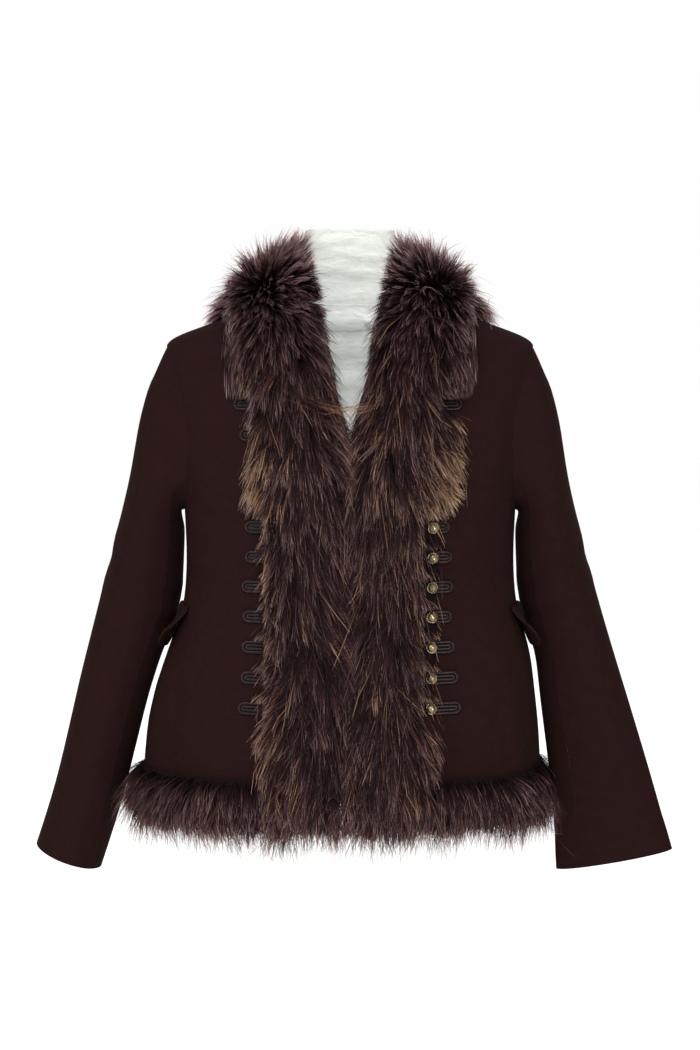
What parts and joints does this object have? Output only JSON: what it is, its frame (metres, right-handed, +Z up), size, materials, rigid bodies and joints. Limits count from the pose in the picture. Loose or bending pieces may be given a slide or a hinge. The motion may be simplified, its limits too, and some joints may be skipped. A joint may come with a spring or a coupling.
{
  "type": "napoleon jacket",
  "caption": "Short dark melton jacket with long-haired fur at fronts, collar and hem, corded frogging and domed metal buttons, hollow as worn.",
  "frame": {"origin": "middle of the neck, at the level where the collar meets the shoulder seams", "axes": "+Z up, the front faces -Y, +X to the wearer's left"},
  "size_m": [0.7189, 0.3549, 0.7235],
  "materials": {
    "wool": "matte dark brown melton wool",
    "fur": "long-haired dyed fur, dark brown with tan tips",
    "lining": "ivory crinkled satin",
    "braid": "dark satin cord",
    "button": "antique gold filigree dome"
  },
  "bodies": {
    "root": {"back_left": "wool", "back_lining": "lining", "back_right": "wool", "button_10": "button", "button_11": "button", "button_5": "button", "button_6": "button", "button_7": "button", "button_8": "button", "button_9": "button", "collar_lining": "lining", "frog_loop_left_1": "braid", "frog_loop_left_10": "braid", "frog_loop_left_11": "braid", "frog_loop_left_2": "braid", "frog_loop_left_3": "braid", "frog_loop_left_4": "braid", "frog_loop_left_5": "braid", "frog_loop_left_6": "braid", "frog_loop_left_7": "braid", "frog_loop_left_8": "braid", "frog_loop_left_9": "braid", "frog_loop_right_1": "braid", "frog_loop_right_10": "braid", "frog_loop_right_11": "braid", "frog_loop_right_2": "braid", "frog_loop_right_3": "braid", "frog_loop_right_4": "braid", "frog_loop_right_5": "braid", "frog_loop_right_6": "braid", "frog_loop_right_7": "braid", "frog_loop_right_8": "braid", "frog_loop_right_9": "braid", "front_left": "wool", "front_right": "wool", "fur_collar": "fur", "fur_front_left": "fur", "fur_front_right": "fur", "fur_hem": "fur", "pocket_flap_left": "wool", "pocket_flap_right": "wool", "sleeve_under_left": "wool", "sleeve_under_right": "wool", "sleeve_upper_left": "wool", "sleeve_upper_right": "wool"}
  },
  "joints": []
}
